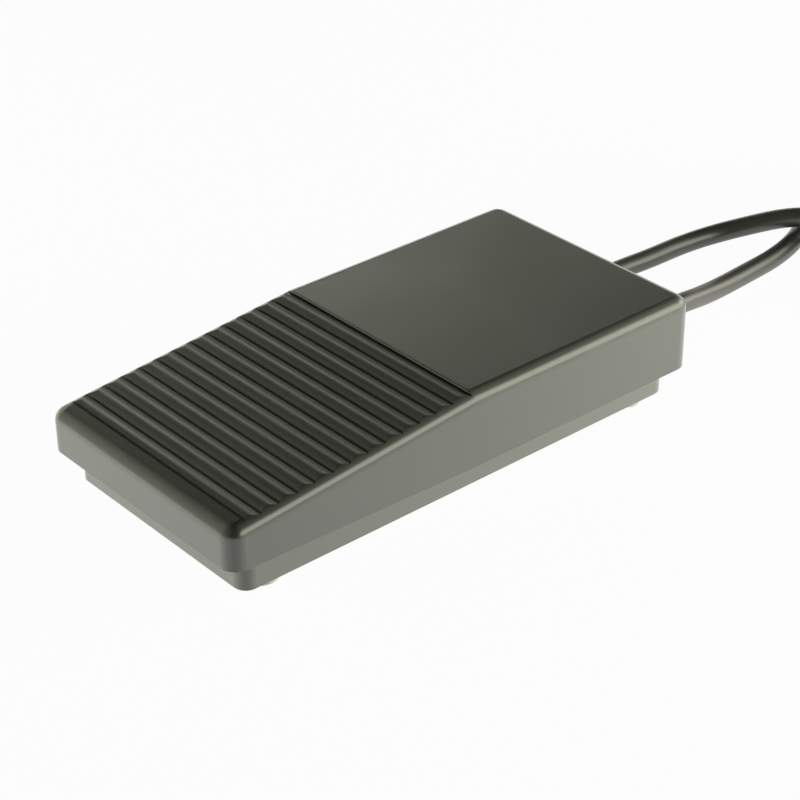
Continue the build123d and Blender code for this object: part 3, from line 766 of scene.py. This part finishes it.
@dataclass(frozen=True)
class Panel:
    """One pale part of the surroundings, soft at its edges, that the object mirrors.

    Attributes:
        azimuth: degrees round from +X towards +Y to its middle.
        level: how bright it is, where 1 is white.
        near: cosine off its middle at which it starts.
        full: cosine off its middle from which it is whole.
        low: elevation of its lower edge, in degrees.
        high: elevation of its upper edge, in degrees.
        soft: half the width of its soft edges, in degrees.
    """

    azimuth: float
    level: float
    near: float
    full: float
    low: float
    high: float
    soft: float

    def build(
        self, tree: bpy.types.NodeTree, way: bpy.types.NodeSocket, rise: bpy.types.NodeSocket
    ) -> bpy.types.NodeSocket:
        """Adds the panel to the surroundings, as the product of one fade round and two fades upwards.

        Args:
            tree: the world's node tree.
            way: the direction looked in.
            rise: that direction's height, the sine of its elevation.

        Returns:
            The socket with its brightness.
        """
        middle = (math.cos(math.radians(self.azimuth)), math.sin(math.radians(self.azimuth)), 0.0)
        turned = add(tree, "ShaderNodeVectorMath", {"operation": "DOT_PRODUCT", 1: middle}, {0: way})
        fades = [(turned.outputs["Value"], self.near, self.full)]
        for edge, sign in ((self.low, 1), (self.high, -1)):
            sines = [math.sin(math.radians(edge + side * sign * self.soft)) for side in (-1, 1)]
            fades.append((rise, *sines))
        level = None
        for value, start, end in fades:
            fade = add(
                tree,
                "ShaderNodeMapRange",
                {"interpolation_type": "SMOOTHSTEP", "From Min": start, "From Max": end},
                {"Value": value},
            )
            step = {"operation": "MULTIPLY", 1: self.level}
            links = {0: fade.outputs["Result"]}
            if level is not None:
                links[1] = level
            level = add(tree, "ShaderNodeMath", step, links).outputs[0]
        return level


@dataclass
class Studio:
    """The white seamless floor, the pale surroundings and two low soft boxes."""

    floor_size: float = 6.0
    floor_white: float = 0.9
    floor_glow: float = 0.97
    room_light: float = 0.08
    room_colour: str = "#fafbe9"
    dark_mirrored: float = 0.01
    backdrop: Panel = Panel(azimuth=150.0, level=1.5, near=0.3, full=0.8, low=-20.0, high=14.0, soft=3.0)
    boom: Panel = Panel(azimuth=165.0, level=3.1, near=0.64, full=0.97, low=24.5, high=31.0, soft=2.5)
    window: Panel = Panel(azimuth=46.0, level=3.2, near=0.55, full=0.8, low=8.0, high=40.0, soft=5.0)
    target: Point = (0.0, 0.0, 0.015)
    lamps: tuple[SoftBox, ...] = (
        SoftBox("right_box", azimuth=58.0, elevation=2.5, exposure=2.2, width=0.5, height=0.04, distance=0.45),
        SoftBox("front_box", azimuth=226.0, elevation=1.0, exposure=1.65, width=0.5, height=0.02, distance=0.50),
    )

    def build(self) -> None:
        """Makes the floor, the world and the lamps."""
        self.floor()
        self.world()
        for lamp in self.lamps:
            lamp.build(Vector(self.target))
        bpy.context.scene.view_settings.view_transform = "Standard"

    def seen(self, tree: bpy.types.NodeTree) -> bpy.types.NodeSocket:
        """A value of one on camera, glossy and transmission rays, which see the white background.

        Args:
            tree: the tree that takes the nodes.

        Returns:
            The output socket with that value.
        """
        path = add(tree, "ShaderNodeLightPath")
        mirrored = add(
            tree,
            "ShaderNodeMath",
            {"operation": "MAXIMUM"},
            {0: path.outputs["Is Glossy Ray"], 1: path.outputs["Is Transmission Ray"]},
        )
        both = add(
            tree,
            "ShaderNodeMath",
            {"operation": "MAXIMUM"},
            {0: path.outputs["Is Camera Ray"], 1: mirrored.outputs[0]},
        )
        return both.outputs[0]

    def floor(self) -> None:
        """A white matt floor that mostly glows to the camera, and still takes the object's shadow."""
        half = self.floor_size / 2
        mesh = bpy.data.meshes.new("studio_floor")
        mesh.from_pydata([(-half, -half, 0), (half, -half, 0), (half, half, 0), (-half, half, 0)], [], [(0, 1, 2, 3)])
        floor = bpy.data.objects.new("studio_floor", mesh)
        bpy.context.scene.collection.objects.link(floor)
        material = bpy.data.materials.new("seamless paper")
        material.use_nodes = True
        tree = material.node_tree
        tree.nodes.clear()
        paper = add(tree, "ShaderNodeBsdfDiffuse", {"Color": (self.floor_white,) * 3 + (1.0,)})
        glow = add(tree, "ShaderNodeEmission", {"Color": (1.0, 1.0, 1.0, 1.0), "Strength": 1.0})
        share = add(
            tree, "ShaderNodeMath", {"operation": "MULTIPLY", 1: self.floor_glow}, {0: self.seen(tree)}
        )
        mix = add(
            tree,
            "ShaderNodeMixShader",
            links={0: share.outputs[0], 1: paper.outputs["BSDF"], 2: glow.outputs["Emission"]},
        )
        add(tree, "ShaderNodeOutputMaterial", links={"Surface": mix.outputs["Shader"]})
        mesh.materials.append(material)

    def world(self) -> None:
        """White to the camera and through clear pieces, pale panels to what mirrors it, plain dim light to the rest.

        The lamps light the object and don't show in it, and the panels show in it and don't light it.
        """
        world = bpy.data.worlds.new("studio")
        world.use_nodes = True
        tree = world.node_tree
        tree.nodes.clear()
        place = add(tree, "ShaderNodeTexCoord")
        parts = add(tree, "ShaderNodeSeparateXYZ", links={"Vector": place.outputs["Generated"]})
        level = None
        for panel in (self.backdrop, self.boom, self.window):
            light = panel.build(tree, place.outputs["Generated"], parts.outputs["Z"])
            step = {"operation": "ADD", 1: self.dark_mirrored}
            links = {0: light} if level is None else {0: light, 1: level}
            level = add(tree, "ShaderNodeMath", step, links).outputs[0]
        path = add(tree, "ShaderNodeLightPath")
        mirrored = add(
            tree,
            "ShaderNodeMix",
            {"data_type": "FLOAT", 2: self.room_light},
            {0: path.outputs["Is Glossy Ray"], 3: level},
        )
        seen = add(
            tree,
            "ShaderNodeMath",
            {"operation": "MAXIMUM"},
            {0: path.outputs["Is Camera Ray"], 1: path.outputs["Is Transmission Ray"]},
        ).outputs[0]
        strength = add(
            tree,
            "ShaderNodeMix",
            {"data_type": "FLOAT", 3: 1.0},
            {0: seen, 2: mirrored.outputs[0]},
        )
        colour = add(
            tree,
            "ShaderNodeMix",
            {"data_type": "RGBA", 6: linear(self.room_colour), 7: linear("#ffffff")},
            {0: seen},
        )
        background = add(
            tree,
            "ShaderNodeBackground",
            links={"Color": colour.outputs[2], "Strength": strength.outputs[0]},
        )
        add(tree, "ShaderNodeOutputWorld", links={"Surface": background.outputs["Background"]})
        bpy.context.scene.world = world


def main() -> None:
    """Builds the camera and the lead first, then each sub-assembly, and then the studio."""
    logging.basicConfig(level=logging.INFO, format="%(message)s")
    PhotoCamera().build()
    lead, springs = PowerLead(), ReturnSprings()
    for piece in (lead, springs):
        piece.build()
        log.info("built %s", type(piece).__name__)
    for piece in (lead, TreadleShell(), TrayBase(), HingeSet(), springs, SnapSwitch()):
        piece.dress()
        log.info("dressed %s", type(piece).__name__)
    Studio().build()


if __name__ == "__main__":
    main()
